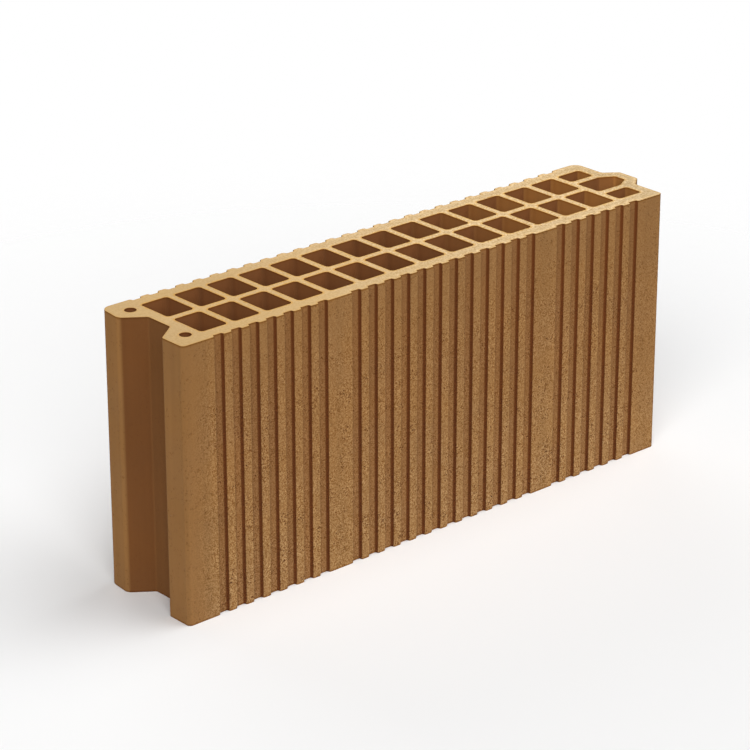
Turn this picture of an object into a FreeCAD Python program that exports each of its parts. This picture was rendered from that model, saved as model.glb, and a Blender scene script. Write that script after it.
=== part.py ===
import FreeCAD, Part
import math
import os

# Hollow clay partition block, extruded and fired in one piece. Millimetres.
# X runs along the block from the grooved end to the tongued end, Y runs
# across it from the front face to the back face, and Z points up along the
# cells. The origin is the middle of the underside of the bounding box.

# Body
BODY_LENGTH = 498.0
BLOCK_WIDTH = 100.0
BLOCK_HEIGHT = 225.0
FRONT_CORNER_RADIUS = 3.5
BACK_CORNER_RADIUS = 8.0

# Two rows of through cells
CELL_COLUMNS = 14
SIDE_WALL = 14.0
CENTRE_WEB = 6.4
CROSS_WEB = 6.4
CELL_CORNER_RADIUS = 3.0

# Last column at the tongued end, split in three across the block
TONGUE_CELL_WIDTH = 24.8
TONGUE_CELL_WEB = 6.8
SHOULDER_WALL = 10.8

# Groove in the first end, between two ears. The back ear's end face leans in
# towards the back face.
GROOVE_DEPTH = 18.0
GROOVE_FLOOR_WIDTH = 25.6
GROOVE_MOUTH_WIDTH = 52.4
GROOVE_FLOOR_WALL = 10.6
GROOVE_FLOOR_RADIUS = 3.0
FRONT_EAR_EDGE_RADIUS = 3.0
BACK_EAR_EDGE_RADIUS = 7.0
BACK_EAR_LEAN = 2.4
EAR_HOLE_RADIUS = 4.5
EAR_HOLE_FROM_END = 16.6
EAR_HOLE_FROM_FACE = 17.4

# Tongue on the other end, hollow where the last column runs into it
TONGUE_REACH = 12.0
TONGUE_TIP_WIDTH = 20.4
TONGUE_ROOT_WIDTH = 39.0
TONGUE_TIP_RADIUS = 3.0
TONGUE_ROOT_RADIUS = 4.0
TONGUE_TIP_WALL = 10.4
TONGUE_CELL_TIP_WIDTH = 10.8
TONGUE_CELL_BEND_RADIUS = 4.0

# Keying flutes down both long faces. The front leaves out two of them, each
# this many slots in from its end, which makes two plain bands.
FLUTE_PITCH = 16.58
FLUTE_MOUTH = 9.1
FLUTE_DEPTH = 2.8
FLUTE_DRAFT = 0.5
FLUTE_END_MARGIN = 28.0
FLUTE_SHIFT = 0.7
PLAIN_BAND_SLOT = 7

# Positions worked out from the sizes above
OVERALL_LENGTH = BODY_LENGTH + TONGUE_REACH
EAR_X = -OVERALL_LENGTH / 2
SHOULDER_X = EAR_X + BODY_LENGTH
TIP_X = SHOULDER_X + TONGUE_REACH
BACK_Y = BLOCK_WIDTH / 2
FRONT_Y = -BACK_Y
CELLS_START_X = EAR_X + GROOVE_DEPTH + GROOVE_FLOOR_WALL
CELLS_END_X = SHOULDER_X - SHOULDER_WALL
CELL_LENGTH = (CELLS_END_X - CELLS_START_X - CELL_COLUMNS * CROSS_WEB) / (CELL_COLUMNS + 1)
CELL_WIDTH = (BLOCK_WIDTH - CENTRE_WEB) / 2 - SIDE_WALL
CELL_PITCH = CELL_LENGTH + CROSS_WEB
FLUTE_SLOTS = 1 + int((BODY_LENGTH - 2 * FLUTE_END_MARGIN - FLUTE_MOUTH) / FLUTE_PITCH)
FIRST_FLUTE_X = (EAR_X + SHOULDER_X - (FLUTE_SLOTS - 1) * FLUTE_PITCH) / 2 + FLUTE_SHIFT


def point(x, y):
    return FreeCAD.Vector(x, y, 0)


def rounded_corner(before, corner, after, radius):
    """Start, middle and end of the arc that rounds one corner of an outline."""
    if radius == 0:
        return corner, None, corner
    into = (before - corner).normalize()
    out = (after - corner).normalize()
    half_angle = into.getAngle(out) / 2
    setback = radius / math.tan(half_angle)
    bisector = (into + out).normalize()
    middle = corner + bisector * (radius / math.sin(half_angle) - radius)
    return corner + into * setback, middle, corner + out * setback


def outline(corners):
    """A closed wire from (x, y, radius) corners, with an arc at each radius."""
    count = len(corners)
    points = [point(x, y) for x, y, _ in corners]
    bends = [rounded_corner(points[i - 1], points[i], points[(i + 1) % count], corners[i][2])
             for i in range(count)]
    edges = []
    for index, (entry, middle, leave) in enumerate(bends):
        next_entry = bends[(index + 1) % count][0]
        if middle is not None:
            edges.append(Part.Arc(entry, middle, leave).toShape())
        edges.append(Part.LineSegment(leave, next_entry).toShape())
    return Part.Wire(edges)


def box_outline(x_low, x_high, y_low, y_high, radius):
    return outline([(x_low, y_low, radius), (x_high, y_low, radius),
                    (x_high, y_high, radius), (x_low, y_high, radius)])


def flute_corners(slot, face_y, inward):
    """The four corners of one flute, in order of rising X."""
    middle = FIRST_FLUTE_X + slot * FLUTE_PITCH
    mouth = FLUTE_MOUTH / 2
    floor = mouth - FLUTE_DRAFT
    floor_y = face_y + inward * FLUTE_DEPTH
    return [(middle - mouth, face_y, 0), (middle - floor, floor_y, 0),
            (middle + floor, floor_y, 0), (middle + mouth, face_y, 0)]


def front_side():
    """The fluted front face with its two plain bands, along rising X."""
    corners = [(EAR_X, FRONT_Y, FRONT_CORNER_RADIUS)]
    for slot in range(FLUTE_SLOTS):
        if slot not in (PLAIN_BAND_SLOT, FLUTE_SLOTS - PLAIN_BAND_SLOT):
            corners += flute_corners(slot, FRONT_Y, 1)
    return corners + [(SHOULDER_X, FRONT_Y, FRONT_CORNER_RADIUS)]


def tongued_end():
    root = TONGUE_ROOT_WIDTH / 2
    tip = TONGUE_TIP_WIDTH / 2
    return [(SHOULDER_X, -root, TONGUE_ROOT_RADIUS), (TIP_X, -tip, TONGUE_TIP_RADIUS),
            (TIP_X, tip, TONGUE_TIP_RADIUS), (SHOULDER_X, root, TONGUE_ROOT_RADIUS)]


def back_side():
    """The fluted back face, along falling X."""
    corners = [(SHOULDER_X, BACK_Y, BACK_CORNER_RADIUS)]
    for slot in reversed(range(FLUTE_SLOTS)):
        corners += reversed(flute_corners(slot, BACK_Y, -1))
    return corners + [(EAR_X + BACK_EAR_LEAN, BACK_Y, BACK_CORNER_RADIUS)]


def grooved_end():
    mouth = GROOVE_MOUTH_WIDTH / 2
    floor = GROOVE_FLOOR_WIDTH / 2
    floor_x = EAR_X + GROOVE_DEPTH
    return [(EAR_X, mouth, BACK_EAR_EDGE_RADIUS), (floor_x, floor, GROOVE_FLOOR_RADIUS),
            (floor_x, -floor, GROOVE_FLOOR_RADIUS), (EAR_X, -mouth, FRONT_EAR_EDGE_RADIUS)]


def block_outline():
    return outline(front_side() + tongued_end() + back_side() + grooved_end())


def row_cells():
    """The like cells, two to a column on either side of the centre web."""
    cells = []
    for column in range(CELL_COLUMNS):
        x_low = CELLS_START_X + column * CELL_PITCH
        for y_low in (FRONT_Y + SIDE_WALL, CENTRE_WEB / 2):
            cells.append(box_outline(x_low, x_low + CELL_LENGTH, y_low,
                                     y_low + CELL_WIDTH, CELL_CORNER_RADIUS))
    return cells


def shoulder_cells():
    """The two small cells behind the shoulders of the tongued end."""
    x_low = CELLS_END_X - CELL_LENGTH
    inner_y = TONGUE_CELL_WIDTH / 2 + TONGUE_CELL_WEB
    outer_y = BACK_Y - SIDE_WALL
    return [box_outline(x_low, CELLS_END_X, -outer_y, -inner_y, CELL_CORNER_RADIUS),
            box_outline(x_low, CELLS_END_X, inner_y, outer_y, CELL_CORNER_RADIUS)]


def tongue_cell():
    """The middle cell of the last column, which narrows into the tongue."""
    x_low = CELLS_END_X - CELL_LENGTH
    x_tip = TIP_X - TONGUE_TIP_WALL
    wide = TONGUE_CELL_WIDTH / 2
    narrow = TONGUE_CELL_TIP_WIDTH / 2
    return outline([(x_low, -wide, CELL_CORNER_RADIUS), (CELLS_END_X, -wide, TONGUE_CELL_BEND_RADIUS),
                    (x_tip, -narrow, CELL_CORNER_RADIUS), (x_tip, narrow, CELL_CORNER_RADIUS),
                    (CELLS_END_X, wide, TONGUE_CELL_BEND_RADIUS), (x_low, wide, CELL_CORNER_RADIUS)])


def ear_holes():
    """The round hole down each ear."""
    holes = []
    for side in (-1, 1):
        centre = point(EAR_X + EAR_HOLE_FROM_END, side * (BACK_Y - EAR_HOLE_FROM_FACE))
        circle = Part.Circle(centre, FreeCAD.Vector(0, 0, 1), EAR_HOLE_RADIUS)
        holes.append(Part.Wire(circle.toShape()))
    return holes


def clay_block():
    """The whole section, with every hole in it, drawn up to full height."""
    section = Part.Face([block_outline()] + row_cells() + shoulder_cells() + [tongue_cell()] + ear_holes())
    section.validate()
    return section.extrude(FreeCAD.Vector(0, 0, BLOCK_HEIGHT))


def save(shape, node):
    solid = shape.Solids[0]
    print(node, "solids", len(shape.Solids), "valid", solid.isValid(),
          "volume cm3", round(solid.Volume / 1000, 1), "box", solid.BoundBox)
    os.makedirs("parts", exist_ok=True)
    shape.exportStep("parts/" + node + ".step")


save(clay_block(), "clay_block")
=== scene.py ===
import math
from types import SimpleNamespace
import bpy
import numpy as np
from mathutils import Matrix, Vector, kdtree, noise
from mathutils.geometry import convex_hull_2d, delaunay_2d_cdt

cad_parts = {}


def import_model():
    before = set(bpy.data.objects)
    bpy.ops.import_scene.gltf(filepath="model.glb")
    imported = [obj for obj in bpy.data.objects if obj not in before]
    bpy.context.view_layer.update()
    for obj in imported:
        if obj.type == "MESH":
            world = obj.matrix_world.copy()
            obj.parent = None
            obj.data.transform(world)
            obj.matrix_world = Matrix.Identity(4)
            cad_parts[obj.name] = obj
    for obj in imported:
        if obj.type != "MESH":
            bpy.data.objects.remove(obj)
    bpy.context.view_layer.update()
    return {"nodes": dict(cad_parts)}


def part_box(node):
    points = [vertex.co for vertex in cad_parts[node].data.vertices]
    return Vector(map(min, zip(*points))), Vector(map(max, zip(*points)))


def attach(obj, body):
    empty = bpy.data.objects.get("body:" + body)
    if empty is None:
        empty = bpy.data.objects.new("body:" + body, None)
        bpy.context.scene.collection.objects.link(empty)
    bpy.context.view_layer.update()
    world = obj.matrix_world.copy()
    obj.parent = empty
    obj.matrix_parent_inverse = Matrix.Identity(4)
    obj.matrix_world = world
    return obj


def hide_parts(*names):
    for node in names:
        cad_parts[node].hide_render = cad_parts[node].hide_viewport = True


# Hollow clay block in soft studio light. Metres, in the frame's own axes: the
# block stands on z = 0 with its grooved end towards -X.

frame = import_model()
block = frame["nodes"]["clay_block"]
block_low, block_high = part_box("clay_block")

MM = 0.001
SEED = 7

# Skin of the block, worked out from the section of its solid. A corner that
# turns by more than SHARP_TURN degrees is rounded off: an edge from EDGE_REACH
# to each side of it, which grows to BLUNT_REACH over the last BLUNT_DEPTH before
# a cut face, and a cleft from CLEFT_REACH. Points lie about a spacing apart
WELD = 0.01 * MM
SHARP_TURN = 20
EDGE_REACH = 0.45 * MM
BLUNT_REACH = 1.4 * MM
BLUNT_DEPTH = 2.5 * MM
CLEFT_REACH = 1.3 * MM
CORNER_STEPS = 3
OUTER_SPACING = 2.6 * MM
HOLE_SPACING = 4.0 * MM
LEVEL_SPACING = 25 * MM

# The arris is the worn rounding between a wall and a cut face. Its width varies
# by up to a share of WEAR, over stretches of about WEAR_SIZE
ARRIS = 0.26 * MM
ARRIS_STEPS = 3
WEAR = 0.3
WEAR_SIZE = 5 * MM

# Points of the cut faces: a row beside each edge, and the rest spread between.
# The clearances are shares of the rim's width and of the spacing
RIM_WIDTH = 2.0 * MM
RIM_CLEARANCE = 0.8
TOP_CAP_SPACING = 2.0 * MM
UNDER_CAP_SPACING = 3.4 * MM
CAP_CLEARANCE = 0.6
CAP_JITTER = 0.22

# What is painted on the skin for the material to read: cut faces, recessed walls
# and flutes' floors that take painted shade, cells, sand, how much darker a place
# is, largely by painted shade and light, how much paler the cells are by painted
# light and how much paler the cut faces are, and how strong the warm line on a cut
# edge is
PAINTED = ("cut", "recess", "flute", "cell", "sand", "shade", "pale", "edge")

# Recess: painted shade, one on the flutes' walls and in the holes, and a share of
# one in the groove, where it rises at the mouth. Flute: one on the flutes' floors,
# which take a lighter painted shade. An edge is the depth over which one of them
# rises, and a turn is how much a wall has to face along the block for it. What
# lies within FACE_REACH of a face is part of it
FACE_REACH = 4 * MM
FLUTE_EDGE = (0.3 * MM, 1.6 * MM)
WALL_EDGE = (0.1 * MM, 0.5 * MM)
WALL_TURN = (0.1, 0.5)
GROOVE_EDGE = (0.6 * MM, 2.2 * MM)
GROOVE_FLOOR_TURN = (0.7, 0.95)
GROOVE_SIDE_SHARE = 0.73
GROOVE_FLOOR_SHARE = 0.62

# The small holes down the ears take darker painted shade than the cells
NARROW_HOLE = 12 * MM
NARROW_HOLE_CELL = 0.5

# The grooved end and the long faces beside it darken towards the foot by painted
# shade and light, the groove less so. The long faces' other ends are a little darker
END_REACH = (15 * MM, 45 * MM)
END_TURN = (0.3, 0.9)
END_SHADE = -0.11
END_FOOT_SHADE = 0.22
FACE_END_SHADE = 0.01
FACE_END_FOOT_SHADE = 0.11
GROOVE_END_SHARE = 0.4
FAR_END_REACH = (205 * MM, 222 * MM)
FAR_END_SHADE = 0.03

# Painted shade: the cells' corners are darker, less so on the walls along the
# block, and so are the outer corners, the more so towards the foot
CORNER_REACH = (1.0 * MM, 4.5 * MM)
CORNER_SHADE = 0.32
CORNER_LONG_WALL_SHARE = 0.4
OUTER_CORNER_DEPTH = 1.5 * MM
OUTER_CORNER_TURN = (0.4, 1.0)
OUTER_CORNER_SHADE = 0.06
OUTER_CORNER_FOOT_SHADE = 0.06

# Painted shade and light: the flutes' walls darken towards the foot, the more so
# towards the tongued end, where their tops are paler
WALL_TOP_SHADE = -0.08
WALL_FOOT_SHADE = 0.17
WALL_FAR_REACH = (0 * MM, 160 * MM)
WALL_FAR_PALE = 0.27

# Painted highlight: the ridges between flutes, and the bands' edges beside them,
# are a little paler
RIDGE_REACH = (4 * MM, 8 * MM)
RIDGE_HIGHLIGHT = 0.07

# Where the sanded grain begins, past the smooth grooved end, where it thins
# towards the tongued end, and the shares of it in the flutes and on the ends
SAND_STARTS = (3 * MM, 30 * MM)
SAND_GROOVED_END = 0.15
SAND_THINS = (205 * MM, 220 * MM)
SAND_TONGUED_END = 0.75
SAND_IN_FLUTES = 0.85
SAND_ON_ENDS = 0.15

# Painted light in the cells: where they turn paler towards the tongued end, and
# how much of that the walls take that don't face the grooved end
CELL_PALE_REACH = (-15 * MM, 190 * MM)
CELL_FACING_TURN = (0.3, 0.8)
CELL_SIDE_PALE = 0.06

# The cut faces: they turn paler towards the tongued end and are a little darker
# at both ends of the block. The centre web is paler where they are dim, and a
# painted highlight makes a line just in from the edges paler where they are pale.
# The cut colour fades out over the arris
CUT_PALE_TO = 165 * MM
CUT_START_REACH = (10 * MM, 40 * MM)
CUT_START_SHADE = 0.045
CUT_END_REACH = (210 * MM, 240 * MM)
CUT_END_SHADE = 0.13
WEB_REACH = (4 * MM, 10 * MM)
WEB_PALE = 0.055
RIM_HIGHLIGHT = 0.2
CUT_CREEP = 2.0

# Colours of the clay and of painted shade: the sanded faces, the smooth ends, the
# painted shade on the flutes' floors and on their walls, which the end groove
# shares, the painted shade in the cells, dim and lifted by painted light, and the
# cut faces
CLAY_FACE = (0.308, 0.152, 0.0495)
CLAY_SMOOTH = (0.308, 0.147, 0.0455)
FLUTE_FLOOR_SHADE = (0.287, 0.129, 0.041)
RECESS_SHADE = (0.113, 0.0315, 0.0052)
CELL_SHADE_DIM = (0.242, 0.091, 0.0275)
CELL_SHADE_LIT = (0.455, 0.192, 0.047)
CLAY_CUT_DIM = (0.608, 0.40, 0.178)
CLAY_CUT_BRIGHT = (0.71, 0.50, 0.259)

# Tints: painted light makes the sanded faces paler and less red at their foot, and
# the whole block is warmer in some places and cooler in others
FOOT_LIGHT_TINT = (1.0, 1.07, 1.17)
FOOT_LIGHT_HEIGHT = 140 * MM
TINT_SIZE = 40 * MM
TINT_RISE = (0.35, 0.65)
TINT_WARM = (1.008, 1.0, 0.97)
TINT_COOL = (0.992, 1.0, 1.03)

# A warm line runs along both sides of each cut edge. On the cut face only a
# share of it shows round the outside and the small holes, and on the walls it
# carries painted shade too, down to RIM_DEPTH
EDGE_TINT = (1.03, 0.84, 0.44)
OUTER_EDGE_TINT_SHARE = 0.45
NARROW_HOLE_TINT_SHARE = 0.5
RIM_DEPTH = 2.0 * MM
OUTER_RIM_SHADE = 0.33
CELL_RIM_SHADE = 0.2

# Sandy grain, in patches: little of it under the top, more from SAND_MIDDLE of
# the block's height down, and most at the foot. A tone is how much something
# changes the clay's colour
SAND_GRAIN = 0.95 * MM
SAND_GRAIN_TONE = 3.0
SAND_GRAIN_HEIGHT = 0.4 * MM
SAND_PATCH = 17 * MM
SAND_PATCH_RISE = (0.35, 0.6)
SAND_PATCH_TONES = (0.6, 1.0)
SAND_MIDDLE = 0.65
SAND_AT_TOP = 0.33
SAND_AT_MIDDLE = 0.84

# Mottling of the cut faces, which is weaker towards the grooved end
CUT_GRAIN = 1.6 * MM
CUT_GRAIN_TONE = 1.5
CUT_GRAIN_HEIGHT = 0.3 * MM
CUT_GRAIN_GROOVED_END = 0.3

# Both kinds of grain change the blue of the clay the most, and leave each part of
# a colour at least GRAIN_DARKEST of itself
GRAIN_TINT = (0.85, 1.15, 1.7)
GRAIN_DARKEST = 0.2

# Small uneven pits, which lie in patches and are darkened by painted shade: as
# strong as the sandy grain, and at least PITS_ON_WALLS or PITS_ON_CUTS. They show
# where a noise falls below a level
PIT_SIZE = 1.9 * MM
PIT_RISE = (0.41, 0.30)
PIT_SHADE = 0.34
PIT_DEPTH = 0.4 * MM
PIT_PATCH = 11 * MM
PIT_PATCH_RISE = (0.42, 0.6)
PITS_ON_WALLS = 0.55
PITS_ON_CUTS = 0.1

# Faint streaks along the extrusion, and wide soft clouds
STREAK_WIDTH = 7 * MM
STREAK_LENGTH = 300 * MM
STREAK_TONE = 0.22
CLOUD_SIZE = 70 * MM
CLOUD_TONE = 0.18

# Gloss of the clay. Its roughness swings with the grain
CLAY_ROUGHNESS = 0.88
CLAY_ROUGHNESS_SWING = 0.3
CLAY_SPECULAR = 0.2

# Camera, as the photograph was taken
CAMERA_AZIMUTH = -41.62
CAMERA_ELEVATION = 22.70
CAMERA_DISTANCE = 2.4654
CAMERA_LENS = 149.52
CAMERA_SENSOR = 36.0
CAMERA_ROLL = -0.05
CAMERA_AIM_OFFSET = (-13.5 * MM, 14.0 * MM, 3.6 * MM)

# Lamps: azimuth and elevation in degrees, and strength
LAMPS = {"key": (-43, 36, 0.78), "side": (60, 60, 0.53), "back": (165, 20, 0.22)}
LAMP_SPREAD = 50
WORLD_LIGHT = 0.02

# Floor
FLOOR_RADIUS = 0.9
FLOOR_FADE_START = 0.4
FLOOR_SIDES = 96
FLOOR_COLOUR = (0.95, 0.95, 0.95)
FLOOR_ROUGHNESS = 0.95


def smooth_step(value, start, end):
    """0 before start and 1 past end, with a smooth rise between."""
    t = np.clip((value - start) / (end - start), 0, 1)
    return t * t * (3 - 2 * t)


def between(first, second, share):
    """A value that goes from the first to the second as the share goes from 0 to 1."""
    return first + (second - first) * share


def section_rings(mesh, top):
    """Rings of (x, y) round the section at its top face: clay is on each ring's left."""
    corner = [(round(v.co.x / WELD), round(v.co.y / WELD)) for v in mesh.vertices]
    at_top = [top - v.co.z < WELD for v in mesh.vertices]
    sides = set()
    for polygon in mesh.polygons:
        if all(at_top[i] for i in polygon.vertices):
            loop = [corner[i] for i in polygon.vertices]
            for start, end in zip(loop, loop[1:] + loop[:1]):
                if (end, start) in sides:
                    sides.remove((end, start))
                else:
                    sides.add((start, end))
    following = dict(sides)
    rings = []
    while following:
        start, place = following.popitem()
        ring = [start]
        while place != start:
            ring.append(place)
            place = following.pop(place)
        rings.append(np.array(ring) * WELD)
    return sorted(rings, key=lambda ring: -np.ptp(ring[:, 0]))


def soften(ring, edge_reach):
    """The ring with each sharp corner turned through a short curve, which is longer in a cleft."""
    gentle = math.cos(math.radians(SHARP_TURN))
    before = np.roll(ring, 1, axis=0)
    after = np.roll(ring, -1, axis=0)
    made = []
    for a, b, c in zip(before, ring, after):
        back = a - b
        ahead = c - b
        back_length = np.linalg.norm(back)
        ahead_length = np.linalg.norm(ahead)
        if -back @ ahead > back_length * ahead_length * gentle:
            made.append(b)
            continue
        reach = edge_reach if back[1] * ahead[0] > back[0] * ahead[1] else CLEFT_REACH
        start = b + back * min(0.5, reach / back_length)
        end = b + ahead * min(0.5, reach / ahead_length)
        for t in np.linspace(0, 1, CORNER_STEPS + 1):
            made.append((1 - t) ** 2 * start + 2 * t * (1 - t) * b + t ** 2 * end)
    made = np.array(made)
    step = np.linalg.norm(made - np.roll(made, 1, axis=0), axis=1)
    return made[step > WELD]


def side_parts(ring, spacing):
    """Into how many even lengths each side of a ring is cut."""
    sides = np.linalg.norm(np.roll(ring, -1, axis=0) - ring, axis=1)
    return [max(1, round(float(side) / spacing)) for side in sides]


def subdivide(ring, parts):
    """The ring with each side cut into its number of even lengths."""
    made = []
    for a, b, count in zip(ring, np.roll(ring, -1, axis=0), parts):
        made += [a + (b - a) * k / count for k in range(count)]
    return np.array(made)


def outward(ring):
    """Unit normals of a ring, pointing out of the clay."""
    along = ring - np.roll(ring, 1, axis=0)
    along = along / np.linalg.norm(along, axis=1)[:, None]
    along = along + np.roll(along, -1, axis=0)
    along = along / np.linalg.norm(along, axis=1)[:, None]
    return np.stack([along[:, 1], -along[:, 0]], axis=1)


def worn(ring):
    """How wide the rounded arris is at each place of a ring."""
    uneven = [noise.noise(Vector((x, y, 0)) / WEAR_SIZE) for x, y in ring]
    return (ARRIS * (1 + WEAR * np.array(uneven)))[:, None]


def hull_depth(ring):
    """How deep each place of a ring lies inside the ring's convex outline."""
    hull = ring[convex_hull_2d([Vector(p) for p in ring])]
    side = np.roll(hull, -1, axis=0) - hull
    normal = np.stack([side[:, 1], -side[:, 0]], axis=1) / np.linalg.norm(side, axis=1)[:, None]
    return abs(((ring[:, None] - hull[None]) * normal[None]).sum(axis=2)).min(axis=1)


def sand_outside(x, at_face, flute):
    """How sandy each place round the outside is."""
    sand = between(SAND_GROOVED_END, 1, smooth_step(x - block_low.x, *SAND_STARTS))
    sand = sand * between(1, SAND_TONGUED_END, smooth_step(x, *SAND_THINS))
    return sand * between(1, SAND_IN_FLUTES, flute) * np.where(at_face, 1.0, SAND_ON_ENDS)


def ridges(ring, at_face, depth):
    """1 on the ridges between flutes and on the bands' edges beside them, 0 further off."""
    flutes = ring[at_face & (depth > WELD)]
    gap = np.linalg.norm(ring[:, None] - flutes[None], axis=2).min(axis=1)
    return at_face * (1 - smooth_step(gap, *RIDGE_REACH)) * (depth < WELD)


def paint_outside(ring, normals):
    """What is painted round the outside: painted shade in the flutes and groove, sand, and painted shade
    and light. Foot is the painted shade that is added towards the foot.
    """
    x, y = ring.T
    across = abs(normals[:, 0])
    depth = hull_depth(ring)
    from_groove = x - block_low.x
    at_face = block_high.y - abs(y) < FACE_REACH
    on_end = np.where(from_groove < FACE_REACH, smooth_step(across, *END_TURN), ~at_face)

    # Painted shade on the flutes' floors, on their walls and in the groove
    flute = at_face * smooth_step(depth, *FLUTE_EDGE)
    wall = at_face * smooth_step(across, *WALL_TURN) * smooth_step(depth, *WALL_EDGE)
    groove = between(GROOVE_SIDE_SHARE, GROOVE_FLOOR_SHARE, smooth_step(across, *GROOVE_FLOOR_TURN))
    groove = groove * smooth_step(depth, *GROOVE_EDGE) * (x < 0)
    recess = np.where(at_face, wall, groove)
    corner = smooth_step(2 * abs(normals[:, 0] * normals[:, 1]), *OUTER_CORNER_TURN)
    corner = corner * (depth < OUTER_CORNER_DEPTH) * (1 - recess)
    end = 1 - smooth_step(from_groove, *END_REACH)
    end = end * (1 - GROOVE_END_SHARE * (recess > 0) * ~at_face)
    far_end = at_face * smooth_step(x, *FAR_END_REACH)
    far_pale = WALL_FAR_PALE * smooth_step(x, *WALL_FAR_REACH)

    # Painted shade and light at the grooved end, on the outer corners and on the flutes' walls, and a
    # painted highlight on the ridges
    shade = between(FACE_END_SHADE, END_SHADE, on_end) * end + FAR_END_SHADE * far_end
    shade = shade - RIDGE_HIGHLIGHT * ridges(ring, at_face, depth) + OUTER_CORNER_SHADE * corner
    shade = shade + (WALL_TOP_SHADE - far_pale) * wall
    foot = between(FACE_END_FOOT_SHADE, END_FOOT_SHADE, on_end) * end
    foot = foot + OUTER_CORNER_FOOT_SHADE * corner + (WALL_FOOT_SHADE + far_pale) * wall
    return SimpleNamespace(recess=recess, flute=flute, cell=0.0, sand=sand_outside(x, at_face, flute),
                           shade=shade, foot=foot, edge=OUTER_EDGE_TINT_SHARE)


def paint_cell(ring, normals):
    """What is painted round a cell: painted shade, which is darker in its corners."""
    inward = np.minimum(ring - ring.min(axis=0), ring.max(axis=0) - ring)
    corner = 1 - smooth_step(np.linalg.norm(inward, axis=1), *CORNER_REACH)
    corner = corner * between(CORNER_LONG_WALL_SHARE, 1, abs(normals[:, 0]))
    return SimpleNamespace(recess=1.0, flute=0.0, cell=1.0, sand=0.0,
                           shade=CORNER_SHADE * corner, foot=0.0, edge=1.0)


def paint_narrow_hole():
    """What is painted round a small hole: painted shade."""
    return SimpleNamespace(recess=1.0, flute=0.0, cell=NARROW_HOLE_CELL, sand=0.0,
                           shade=0.0, foot=0.0, edge=NARROW_HOLE_TINT_SHARE)


def cell_painted_light(ring, normals):
    """How much paler each place round a ring would be by painted light as a cell's wall."""
    facing = smooth_step(-normals[:, 0], *CELL_FACING_TURN)
    return smooth_step(ring[:, 0], *CELL_PALE_REACH) * between(CELL_SIDE_PALE, 1, facing)


def cut_paleness(x):
    """How much paler the cut face is: more towards the tongued end."""
    return smooth_step(x, block_low.x, CUT_PALE_TO)


def cut_shade(x, y):
    """How much darker the cut face is: a little at both ends, less along the centre web's dim part."""
    web = (1 - smooth_step(abs(y), *WEB_REACH)) * (1 - cut_paleness(x))
    start = 1 - smooth_step(x - block_low.x, *CUT_START_REACH)
    end = smooth_step(x, *CUT_END_REACH)
    return CUT_START_SHADE * start + CUT_END_SHADE * end - WEB_PALE * web


class Wall:
    """One ring of the section, its blunter outline at the cut faces, and what is painted on it."""

    def __init__(self, corners, outside):
        soft = soften(corners, EDGE_REACH)
        parts = side_parts(soft, OUTER_SPACING if outside else HOLE_SPACING)
        self.ring = subdivide(soft, parts)
        self.blunt = subdivide(soften(corners, BLUNT_REACH), parts)
        self.normals = outward(self.ring)
        self.arris = worn(self.ring)
        if outside:
            self.paint = paint_outside(self.ring, self.normals)
        elif np.ptp(corners[:, 0]) < NARROW_HOLE:
            self.paint = paint_narrow_hole()
        else:
            self.paint = paint_cell(self.ring, self.normals)
        self.paint.pale = cell_painted_light(self.ring, self.normals)

    def outline(self, bluntness, inset):
        """The ring at one level, drawn in by an inset at each place."""
        return self.ring + (self.blunt - self.ring) * bluntness - self.normals * inset


class Skin:
    """Vertices, faces and painted values of the block's surface, as they are added."""

    def __init__(self):
        self.places = []
        self.values = []
        self.faces = []
        self.count = 0

    def add(self, places, **painted_on):
        """Adds points with what is painted on them, or 0. Gives the index of the first."""
        values = np.zeros((len(places), len(PAINTED)))
        for name, value in painted_on.items():
            values[:, PAINTED.index(name)] = value
        first = self.count
        self.places.append(places)
        self.values.append(values)
        self.count += len(places)
        return first

    def add_band(self, low, high, size):
        """Faces between two loops of a wall, from the index of each loop's first point."""
        for k in range(size):
            after = (k + 1) % size
            self.faces.append((low + k, low + after, high + after, high + k))

    def mesh(self, name):
        """The surface as a Blender mesh."""
        mesh = bpy.data.meshes.new(name)
        mesh.from_pydata(np.concatenate(self.places).tolist(), [], self.faces)
        for index, attribute in enumerate(PAINTED):
            layer = mesh.attributes.new(attribute, "FLOAT", "POINT")
            layer.data.foreach_set("value", np.concatenate(self.values)[:, index].astype(np.float32))
        return mesh


def levels(height):
    """(z, drop, inset, cut) of each level of a wall: drop and inset are its shares of the arris."""
    angles = [k / ARRIS_STEPS * math.pi / 2 for k in range(ARRIS_STEPS + 1)]
    arris = [(1 - math.sin(a), 1 - math.cos(a), a / (math.pi / 2)) for a in angles]
    parts = round(height / LEVEL_SPACING)
    places = [BLUNT_DEPTH] + [height * k / parts for k in range(1, parts)] + [height - BLUNT_DEPTH]
    walls = [(z, 0.0, 0.0, 0.0) for z in places]
    under = [(0.0, -drop, inset, cut) for drop, inset, cut in reversed(arris)]
    return under + walls + [(height, drop, inset, cut) for drop, inset, cut in arris]


def add_wall(skin, wall, height):
    """One wall drawn up through its levels. Gives the indices of its lowest and highest loops."""
    paint = wall.paint
    x, y = wall.ring.T
    loops = []
    for z, drop, inset, cut in levels(height):
        bluntness = 1 - smooth_step(min(z, height - z), 0, BLUNT_DEPTH)
        outline = wall.outline(bluntness, inset * wall.arris)
        places = np.column_stack([outline, z - drop * wall.arris])
        shade = between(paint.shade + paint.foot * (1 - z / height), cut_shade(x, y), cut)
        pale = between(paint.pale, cut_paleness(x), cut)
        loops.append(skin.add(places, cut=cut ** CUT_CREEP, recess=paint.recess, flute=paint.flute,
                              cell=paint.cell, sand=paint.sand, shade=shade, pale=pale, edge=paint.edge))
    for low, high in zip(loops, loops[1:]):
        skin.add_band(low, high, len(x))
    return loops[0], loops[-1]


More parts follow.
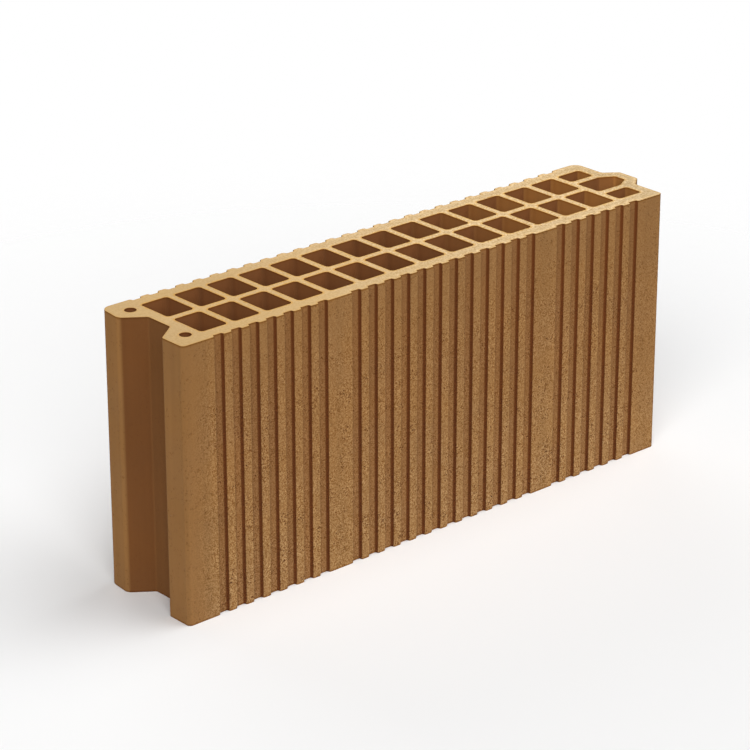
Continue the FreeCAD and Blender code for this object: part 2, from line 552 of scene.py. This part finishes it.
def in_clay(points, rings):
    """Which points lie in the clay: those inside an odd number of rings."""
    odd = np.zeros(len(points), bool)
    x, y = points.T
    for ring in rings:
        for (ax, ay), (bx, by) in zip(ring, np.roll(ring, -1, axis=0)):
            if ay != by:
                spans = (ay > y) != (by > y)
                odd ^= spans & (x < ax + (y - ay) * (bx - ax) / (by - ay))
    return odd


def clear_of(points, others, reach):
    """Which points have none of the others within reach."""
    tree = kdtree.KDTree(len(others))
    for index, (x, y) in enumerate(others):
        tree.insert((x, y, 0), index)
    tree.balance()
    return np.array([tree.find((x, y, 0))[2] > reach for x, y in points])


def cap_points(rings, inner, spacing, rng):
    """A row of points beside each edge of the cut face, and an uneven triangular grid on the rest."""
    edge = np.concatenate(rings)
    rim = np.concatenate(inner)
    rim = rim[in_clay(rim, rings)]
    rim = rim[clear_of(rim, edge, RIM_CLEARANCE * RIM_WIDTH)]
    low = rings[0].min(axis=0)
    high = rings[0].max(axis=0)
    rows = np.arange(low[1], high[1], spacing * math.sqrt(3) / 2)
    grid = [(x + spacing / 2 * (k % 2), y) for k, y in enumerate(rows)
            for x in np.arange(low[0], high[0], spacing)]
    grid = np.array(grid) + rng.uniform(-CAP_JITTER, CAP_JITTER, (len(grid), 2)) * spacing
    grid = grid[in_clay(grid, rings)]
    grid = grid[clear_of(grid, np.concatenate([edge, rim]), CAP_CLEARANCE * spacing)]
    return rim, grid


def cap_faces(rings, extra):
    """Triangles over the cut face, as indices into the rings' points followed by the extra ones."""
    points = np.concatenate(rings + [extra])
    edges = []
    first = 0
    for ring in rings:
        edges += [(first + k, first + (k + 1) % len(ring)) for k in range(len(ring))]
        first += len(ring)
    inside_only = 1
    made = delaunay_2d_cdt([Vector(p) for p in points], edges, [], inside_only, WELD / 10)
    places = np.array([v[:] for v in made[0]])
    source = np.array([owners[0] for owners in made[3]])
    faces = np.array(made[2])
    keep = in_clay(places[faces].mean(axis=1), rings)
    return source[faces[keep]]


def add_cap(skin, walls, loops, z, spacing, rng):
    """The cut face at one end of the walls, from the indices of their loops there. It looks outward."""
    rings = [wall.outline(1, wall.arris) for wall in walls]
    inner = [wall.outline(1, wall.arris + RIM_WIDTH) for wall in walls]
    rim, grid = cap_points(rings, inner, spacing, rng)
    extra = np.concatenate([rim, grid])
    in_rim = np.arange(len(extra)) < len(rim)
    pale = cut_paleness(extra[:, 0])
    # A painted highlight on the row beside each edge, where the cut face is pale
    shade = cut_shade(*extra.T) - RIM_HIGHLIGHT * pale * in_rim
    places = np.column_stack([extra, np.full(len(extra), z)])
    first = skin.add(places, cut=1.0, shade=shade, pale=pale)
    index = [loop + k for loop, ring in zip(loops, rings) for k in range(len(ring))]
    index = np.array(index + list(range(first, first + len(extra))))
    order = (0, 1, 2) if z > 0 else (2, 1, 0)
    skin.faces += [tuple(int(index[t[k]]) for k in order) for t in cap_faces(rings, extra)]


def block_skin():
    """The block's whole surface as one mesh."""
    rng = np.random.default_rng(SEED)
    height = block_high.z
    outer, *holes = section_rings(block.data, height)
    walls = [Wall(outer, True)] + [Wall(hole, False) for hole in holes]
    skin = Skin()
    under, over = zip(*[add_wall(skin, wall, height) for wall in walls])
    add_cap(skin, walls, over, height, TOP_CAP_SPACING, rng)
    add_cap(skin, walls, under, 0.0, UNDER_CAP_SPACING, rng)
    mesh = skin.mesh("block_skin")
    mesh.shade_smooth()
    piece = bpy.data.objects.new("block_skin", mesh)
    bpy.context.scene.collection.objects.link(piece)
    weighted = piece.modifiers.new("weighted_normals", "WEIGHTED_NORMAL")
    weighted.keep_sharp = True
    return piece


def add_node(tree, kind, inputs=None, **settings):
    """A shader node with its settings and inputs. An input is a value or another node's socket."""
    made = tree.nodes.new(kind)
    for name, value in settings.items():
        setattr(made, name, value)
    for name, value in (inputs or {}).items():
        socket = made.inputs[name]
        if isinstance(value, bpy.types.NodeSocket):
            tree.links.new(value, socket)
        else:
            socket.default_value = value
    return made


def painted(tree, name):
    """The value painted on the skin under one name."""
    return add_node(tree, "ShaderNodeAttribute", attribute_name=name).outputs["Fac"]


def calc(tree, operation, first, second):
    """The result of one sum on two values."""
    return add_node(tree, "ShaderNodeMath", {0: first, 1: second}, operation=operation).outputs[0]


def product(tree, value, *others):
    """Several values multiplied."""
    for other in others:
        value = calc(tree, "MULTIPLY", value, other)
    return value


def one_less(tree, value):
    """What a value lacks of 1."""
    return calc(tree, "SUBTRACT", 1.0, value)


def swing(tree, base, value, amount):
    """The base value, raised or lowered by a share of an amount as a noise runs about its middle."""
    centred = calc(tree, "SUBTRACT", value, 0.5)
    return calc(tree, "ADD", product(tree, centred, amount), base)


def ramp(tree, value, start, end, low=0.0, high=1.0):
    """A smooth step of a value, from low at start to high at end."""
    inputs = {"Value": value, "From Min": start, "From Max": end, "To Min": low, "To Max": high}
    return add_node(tree, "ShaderNodeMapRange", inputs, interpolation_type="SMOOTHSTEP").outputs["Result"]


def noise_of(tree, place, size, detail=2.0, roughness=0.5):
    """Noise whose features are about one size across."""
    inputs = {"Vector": place, "Scale": 1 / size, "Detail": detail, "Roughness": roughness}
    return add_node(tree, "ShaderNodeTexNoise", inputs).outputs["Fac"]


def on_vectors(tree, operation, first, second):
    """The result of one sum on two colours or places, part by part."""
    return add_node(tree, "ShaderNodeVectorMath", {0: first, 1: second}, operation=operation).outputs[0]


def times(tree, colour, *others):
    """Several colours multiplied."""
    for other in others:
        colour = on_vectors(tree, "MULTIPLY", colour, other)
    return colour


def scaled(tree, colour, amount):
    """A colour times one value."""
    inputs = {0: colour, "Scale": amount}
    return add_node(tree, "ShaderNodeVectorMath", inputs, operation="SCALE").outputs[0]


def mixed(tree, amount, first, second):
    """A colour between two colours. The node takes them in sockets 6 and 7, and gives it in 2."""
    inputs = {0: amount}
    for index, colour in ((6, first), (7, second)):
        inputs[index] = colour if isinstance(colour, bpy.types.NodeSocket) else (*colour, 1)
    return add_node(tree, "ShaderNodeMix", inputs, data_type="RGBA").outputs[2]


def sandiness(tree, place, height):
    """How strong the sandy grain is: in patches, and more so further down."""
    patches = ramp(tree, noise_of(tree, place, SAND_PATCH), *SAND_PATCH_RISE, *SAND_PATCH_TONES)
    middle = block_high.z * SAND_MIDDLE
    under_top = ramp(tree, height, block_high.z, middle, SAND_AT_TOP, SAND_AT_MIDDLE)
    low_down = ramp(tree, height, block_high.z / 2, 0.0, 1.0, 1 / SAND_AT_MIDDLE)
    return product(tree, patches, under_top, low_down)


def pits(tree, place):
    """1 in small uneven pits that lie in patches, and 0 elsewhere."""
    patch = ramp(tree, noise_of(tree, place, PIT_PATCH), *PIT_PATCH_RISE)
    return product(tree, patch, ramp(tree, noise_of(tree, place, PIT_SIZE, detail=1.0), *PIT_RISE))


def clay_values(tree):
    """The values that the clay's colour, tone, relief and roughness share."""
    place = add_node(tree, "ShaderNodeTexCoord").outputs["Object"]
    height = add_node(tree, "ShaderNodeSeparateXYZ", {0: place}).outputs["Z"]
    from_cut = calc(tree, "MINIMUM", height, calc(tree, "SUBTRACT", block_high.z, height))
    cut = painted(tree, "cut")
    walls = one_less(tree, cut)
    sanded = product(tree, painted(tree, "sand"), sandiness(tree, place, height), walls)
    mottling = ramp(tree, painted(tree, "pale"), 0.0, 1.0, CUT_GRAIN_GROOVED_END, 1.0)
    pit_share = calc(tree, "MAXIMUM", sanded, ramp(tree, cut, 0.0, 1.0, PITS_ON_WALLS, PITS_ON_CUTS))
    pit_share = product(tree, pit_share, one_less(tree, painted(tree, "recess")))
    # The rim holds the warm line and the painted shade under the cut edges
    return SimpleNamespace(
        place=place, height=height, cut=cut, walls=walls, sanded=sanded,
        mottled=product(tree, cut, mottling),
        sand_grain=noise_of(tree, place, SAND_GRAIN, detail=1.0),
        cut_grain=noise_of(tree, place, CUT_GRAIN, detail=3.0, roughness=0.6),
        pit=product(tree, pits(tree, place), pit_share),
        rim=product(tree, walls, ramp(tree, from_cut, RIM_DEPTH, ARRIS)))


def plain_colour(tree, clay):
    """The plain colour of each kind of surface, with painted shade in the flutes, the groove, the holes
    and the cells, and painted light in the cells and at the foot of the sanded faces.
    """
    # Painted shade on the flutes' floors
    sanded = mixed(tree, painted(tree, "flute"), CLAY_FACE, FLUTE_FLOOR_SHADE)
    # Painted light at the foot of the sanded faces
    foot = mixed(tree, ramp(tree, clay.height, FOOT_LIGHT_HEIGHT, 0.0), (1, 1, 1), FOOT_LIGHT_TINT)
    outside = mixed(tree, painted(tree, "sand"), CLAY_SMOOTH, times(tree, sanded, foot))
    # Painted shade on the flutes' walls, in the groove and in the holes
    outside = mixed(tree, painted(tree, "recess"), outside, RECESS_SHADE)
    # Painted shade in the cells, lifted by painted light towards the tongued end
    inside = mixed(tree, painted(tree, "pale"), CELL_SHADE_DIM, CELL_SHADE_LIT)
    cut = mixed(tree, painted(tree, "pale"), CLAY_CUT_DIM, CLAY_CUT_BRIGHT)
    walls = mixed(tree, painted(tree, "cell"), outside, inside)
    return mixed(tree, clay.cut, walls, cut)


def tints(tree, clay):
    """The colours that the plain one is multiplied by: warm and cool places, and the cut edges' line."""
    uneven = ramp(tree, noise_of(tree, clay.place, TINT_SIZE), *TINT_RISE)
    line = calc(tree, "ADD", product(tree, painted(tree, "edge"), clay.cut), clay.rim)
    return mixed(tree, uneven, TINT_WARM, TINT_COOL), mixed(tree, line, (1, 1, 1), EDGE_TINT)


def speckle(tree, clay):
    """The colour of grain and of the painted shade in pits, about white, for the plain one to be
    multiplied by.
    """
    grain = swing(tree, 0.0, clay.sand_grain, product(tree, clay.sanded, SAND_GRAIN_TONE))
    grain = swing(tree, grain, clay.cut_grain, product(tree, clay.mottled, CUT_GRAIN_TONE))
    # Painted shade in the pits
    grain = calc(tree, "SUBTRACT", grain, product(tree, clay.pit, PIT_SHADE))
    about_white = on_vectors(tree, "ADD", scaled(tree, GRAIN_TINT, grain), (1, 1, 1))
    return on_vectors(tree, "MAXIMUM", about_white, (GRAIN_DARKEST,) * 3)


def tone(tree, clay):
    """How bright a place is beside its plain colour: streaks, clouds, the painted shade under the cut
    edges, and the painted shade and light on the skin.
    """
    along = on_vectors(tree, "MULTIPLY", clay.place, (1, 1, STREAK_WIDTH / STREAK_LENGTH))
    streaks = noise_of(tree, along, STREAK_WIDTH)
    clouds = noise_of(tree, clay.place, CLOUD_SIZE, detail=3.0)
    # Painted shade under the cut edges
    rim_shade = ramp(tree, painted(tree, "cell"), 0.0, 1.0, OUTER_RIM_SHADE, CELL_RIM_SHADE)
    made = swing(tree, 1.0, streaks, product(tree, clay.walls, STREAK_TONE))
    made = swing(tree, made, clouds, CLOUD_TONE)
    made = calc(tree, "SUBTRACT", made, product(tree, clay.rim, rim_shade))
    # The painted shade and light from the skin
    return product(tree, made, one_less(tree, painted(tree, "shade")))


def relief(tree, clay):
    """The height of grain and pits, in millimetres."""
    sand = product(tree, clay.sand_grain, clay.sanded, SAND_GRAIN_HEIGHT / MM)
    mottling = product(tree, clay.cut_grain, clay.mottled, CUT_GRAIN_HEIGHT / MM)
    grain = calc(tree, "ADD", sand, mottling)
    return calc(tree, "SUBTRACT", grain, product(tree, clay.pit, PIT_DEPTH / MM))


def fired_clay():
    """Sandy fired clay, with grain, pits and faint streaks along the extrusion, and painted shade and
    light.
    """
    material = bpy.data.materials.new("fired_clay")
    material.use_nodes = True
    tree = material.node_tree
    shader = tree.nodes["Principled BSDF"]
    clay = clay_values(tree)
    colour = times(tree, plain_colour(tree, clay), *tints(tree, clay), speckle(tree, clay))
    tree.links.new(scaled(tree, colour, tone(tree, clay)), shader.inputs["Base Color"])
    bump = add_node(tree, "ShaderNodeBump", {"Height": relief(tree, clay), "Distance": MM})
    tree.links.new(bump.outputs[0], shader.inputs["Normal"])
    rough = swing(tree, CLAY_ROUGHNESS, clay.sand_grain, CLAY_ROUGHNESS_SWING)
    tree.links.new(rough, shader.inputs["Roughness"])
    shader.inputs["Specular IOR Level"].default_value = CLAY_SPECULAR
    return material


def pale_floor():
    """A pale matt material that fades out towards the floor's rim."""
    material = bpy.data.materials.new("pale_floor")
    material.use_nodes = True
    tree = material.node_tree
    shader = tree.nodes["Principled BSDF"]
    shader.inputs["Base Color"].default_value = (*FLOOR_COLOUR, 1)
    shader.inputs["Roughness"].default_value = FLOOR_ROUGHNESS
    shader.inputs["Specular IOR Level"].default_value = 0.0
    place = add_node(tree, "ShaderNodeTexCoord").outputs["Object"]
    reach = add_node(tree, "ShaderNodeVectorMath", {0: place}, operation="LENGTH").outputs["Value"]
    fade = ramp(tree, reach, FLOOR_FADE_START, FLOOR_RADIUS, 1.0, 0.0)
    tree.links.new(fade, shader.inputs["Alpha"])
    return material


def floor():
    """A disc on which the block stands."""
    angles = [math.tau * k / FLOOR_SIDES for k in range(FLOOR_SIDES)]
    rim = [(FLOOR_RADIUS * math.cos(a), FLOOR_RADIUS * math.sin(a), 0.0) for a in angles]
    mesh = bpy.data.meshes.new("floor")
    mesh.from_pydata(rim, [], [range(FLOOR_SIDES)])
    mesh.materials.append(pale_floor())
    piece = bpy.data.objects.new("floor", mesh)
    bpy.context.scene.collection.objects.link(piece)
    return piece


def world():
    """A faint even light, which is white where the camera, a gloss or a glass sees it."""
    made = bpy.data.worlds.new("studio")
    made.use_nodes = True
    tree = made.node_tree
    background = tree.nodes["Background"]
    background.inputs["Color"].default_value = (1, 1, 1, 1)
    path = add_node(tree, "ShaderNodeLightPath").outputs
    seen = calc(tree, "MAXIMUM", path["Is Camera Ray"], path["Is Glossy Ray"])
    seen = calc(tree, "MAXIMUM", seen, path["Is Transmission Ray"])
    strength = calc(tree, "MAXIMUM", seen, WORLD_LIGHT)
    tree.links.new(strength, background.inputs["Strength"])
    bpy.context.scene.world = made


def direction(azimuth, elevation):
    """The way from the block to a lamp or the camera. Azimuth 0 is straight before the front face."""
    a = math.radians(azimuth)
    e = math.radians(elevation)
    return Vector((math.sin(a) * math.cos(e), -math.cos(a) * math.cos(e), math.sin(e)))


def lamp(name, azimuth, elevation, strength):
    """A distant soft light. At a strength of 1, a surface that faces it shows its colour as written."""
    data = bpy.data.lights.new(name, "SUN")
    data.energy = math.pi * strength
    data.angle = math.radians(LAMP_SPREAD)
    made = bpy.data.objects.new(name, data)
    made.rotation_euler = direction(azimuth, elevation).to_track_quat("Z", "Y").to_euler()
    bpy.context.scene.collection.objects.link(made)


def camera(aim):
    """The camera, which looks at its aim from where the photograph was taken."""
    back = direction(CAMERA_AZIMUTH, CAMERA_ELEVATION)
    data = bpy.data.cameras.new("camera")
    data.lens = CAMERA_LENS
    data.sensor_width = CAMERA_SENSOR
    made = bpy.data.objects.new("camera", data)
    made.location = aim + back * CAMERA_DISTANCE
    made.rotation_euler = back.to_track_quat("Z", "Y").to_euler()
    made.rotation_euler.rotate_axis("Z", math.radians(CAMERA_ROLL))
    bpy.context.scene.collection.objects.link(made)
    bpy.context.scene.camera = made


centre = (block_low + block_high) / 2
camera(centre + Vector(CAMERA_AIM_OFFSET))
skin = block_skin()
skin.data.materials.append(fired_clay())
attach(skin, "root")
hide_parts("clay_block")
floor()
world()
for name, setting in LAMPS.items():
    lamp(name, *setting)
bpy.context.scene.view_settings.view_transform = "Standard"
